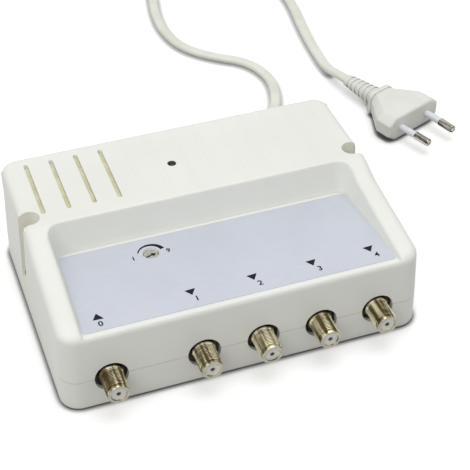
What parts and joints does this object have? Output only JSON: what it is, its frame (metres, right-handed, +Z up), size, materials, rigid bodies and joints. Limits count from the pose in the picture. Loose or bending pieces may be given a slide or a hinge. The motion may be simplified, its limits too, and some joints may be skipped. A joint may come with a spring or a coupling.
{
  "type": "tv signal amplifier",
  "caption": "Mains television signal amplifier: flat moulded housing, sunk label panel with a gain trimmer, threaded coaxial sockets along the front, cord with a flat two-pin plug",
  "frame": {"origin": "middle of the housing's underside, on the surface it rests on", "axes": "+X along the row of sockets with the antenna socket at -X, +Y to the back, +Z up"},
  "size_m": [0.2307, 0.3734, 0.048],
  "materials": {
    "housing_plastic": "satin",
    "label_sheet": "satin",
    "tinned_sheet": "satin",
    "nickel_plate": "polished",
    "white_insulator": "gloss",
    "contact_brass": "satin",
    "circuit_board": "satin",
    "ferrite": "matte",
    "copper_wire": "gloss",
    "black_resin": "matte",
    "can_sleeve": "gloss",
    "suppressor_case": "gloss",
    "trimmer_plastic": "matte",
    "core_steel": "satin",
    "bobbin_nylon": "matte",
    "sink_aluminium": "satin",
    "fuse_sleeve": "gloss",
    "lamp_lens": "gloss",
    "lead_insulation": "satin",
    "zinc_steel": "satin",
    "clamp_plastic": "matte",
    "cord_jacket": "satin",
    "tie_plastic": "matte",
    "sleeve_white": "satin"
  },
  "bodies": {
    "housing": {"amplifier_board": "circuit_board", "antenna_socket": "nickel_plate", "base_tray": "housing_plastic", "board_capacitors": "can_sleeve", "board_transistors": "black_resin", "clamp_screws": "zinc_steel", "coil_tie": "tie_plastic", "cord_clamp": "clamp_plastic", "cord_coil": "cord_jacket", "cord_from_housing": "cord_jacket", "cord_gland": "cord_jacket", "cord_tail": "cord_jacket", "cord_to_plug": "cord_jacket", "cover_screws": "zinc_steel", "feedthrough": "tinned_sheet", "filter_coils": "copper_wire", "fuse_clips": "tinned_sheet", "gain_trimmer_body": "trimmer_plastic", "heat_sink": "sink_aluminium", "label_plate": "label_sheet", "led_spacer": "bobbin_nylon", "mains_cores": "lead_insulation", "mains_terminals": "bobbin_nylon", "output_capacitor": "can_sleeve", "pin_sleeves": "sleeve_white", "plug_body": "cord_jacket", "plug_pins": "nickel_plate", "power_led": "lamp_lens", "rectifier_diodes": "black_resin", "reservoir_capacitor": "can_sleeve", "shield_frame": "tinned_sheet", "shield_lid": "tinned_sheet", "socket_contacts": "contact_brass", "socket_insulators": "white_insulator", "splitter_ferrites": "ferrite", "splitter_windings": "copper_wire", "supply_board": "circuit_board", "supply_board_screws": "zinc_steel", "supply_fuse": "fuse_sleeve", "supply_lead": "lead_insulation", "suppression_capacitor": "suppressor_case", "top_cover": "housing_plastic", "transformer_bobbin": "bobbin_nylon", "transformer_core": "core_steel", "transformer_strap": "tinned_sheet", "transformer_windings": "copper_wire", "tv_socket_1": "nickel_plate", "tv_socket_2": "nickel_plate", "tv_socket_3": "nickel_plate", "tv_socket_4": "nickel_plate", "voltage_regulator": "black_resin"},
    "gain_trimmer": {"gain_trimmer_rotor": "trimmer_plastic"}
  },
  "joints": [
    {"name": "gain_trim", "type": "hinge", "parent": "housing", "child": "gain_trimmer", "pos_m": [-0.0273, -0.0116, 0.0333], "axis": [0, 0, 1], "range_deg": [-45, 190]}
  ]
}
